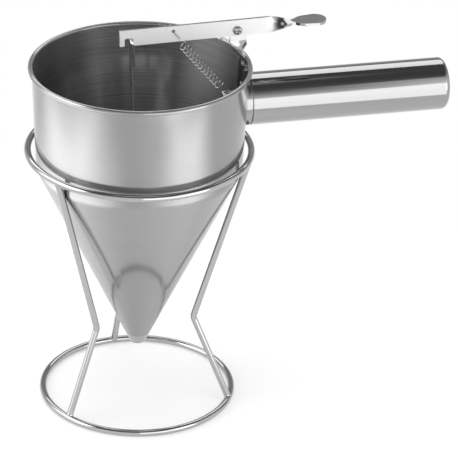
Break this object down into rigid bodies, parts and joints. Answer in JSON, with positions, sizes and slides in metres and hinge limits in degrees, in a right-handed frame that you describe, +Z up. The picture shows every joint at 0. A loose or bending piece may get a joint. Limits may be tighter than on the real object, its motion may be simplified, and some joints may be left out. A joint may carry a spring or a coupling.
{
  "type": "batter dispenser",
  "caption": "Hand-held steel batter funnel with a lever-worked outlet stopper and side handle, standing in a three-legged wire stand.",
  "frame": {"origin": "on the table at the wire stand's axis, which is also the funnel's axis", "axes": "+Z up along the funnel's axis, +X along the handle from the funnel, +Y away from the side that shows the lever's screw head"},
  "size_m": [0.3086, 0.1652, 0.2943],
  "materials": {
    "brushed_sheet": "brushed",
    "polished_tube": "polished",
    "polished_wire": "polished",
    "satin_strip": "satin",
    "turned_steel": "turned, satin",
    "fastener_steel": "satin",
    "spring_wire": "bright drawn",
    "silicone": "matt"
  },
  "bodies": {
    "stand": {"stand_base_ring": "polished_wire", "stand_top_ring": "polished_wire", "stand_leg_right": "polished_wire", "stand_leg_rear": "polished_wire", "stand_leg_left": "polished_wire"},
    "funnel": {"funnel_body": "brushed_sheet", "outlet_nozzle": "turned_steel", "handle_collar": "polished_tube", "handle_tube": "polished_tube", "handle_end_cap": "polished_tube", "pivot_bracket": "satin_strip", "bracket_rivets": "fastener_steel", "pivot_spacer": "fastener_steel", "pivot_screw": "fastener_steel", "pivot_washer": "fastener_steel", "pivot_nut": "fastener_steel", "return_spring": "spring_wire"},
    "lever": {"lever": "satin_strip"},
    "rod": {"stopper_rod": "polished_wire", "stopper_plug": "turned_steel", "stopper_seal": "silicone"}
  },
  "joints": [
    {"name": "funnel_lift", "type": "slide", "parent": "stand", "child": "funnel", "axis": [0, 0, 1], "range_m": [0, 0.17]},
    {"name": "lever_pivot", "type": "hinge", "parent": "funnel", "child": "lever", "pos_m": [0.069, -0.0028, 0.28606], "axis": [0, 1, 0], "range_deg": [0, 15], "stiffness_Nm_per_rad": 1.2, "springref_deg": -11.46, "deforming": ["return_spring"]},
    {"name": "rod_hang", "type": "hinge", "parent": "lever", "child": "rod", "pos_m": [-0.0076, 0, 0.28452], "axis": [0, 1, 0], "range_deg": [-16, 1]}
  ],
  "couplings": [
    {"joint": "rod_hang", "follows": "lever_pivot", "ratio": -1}
  ]
}
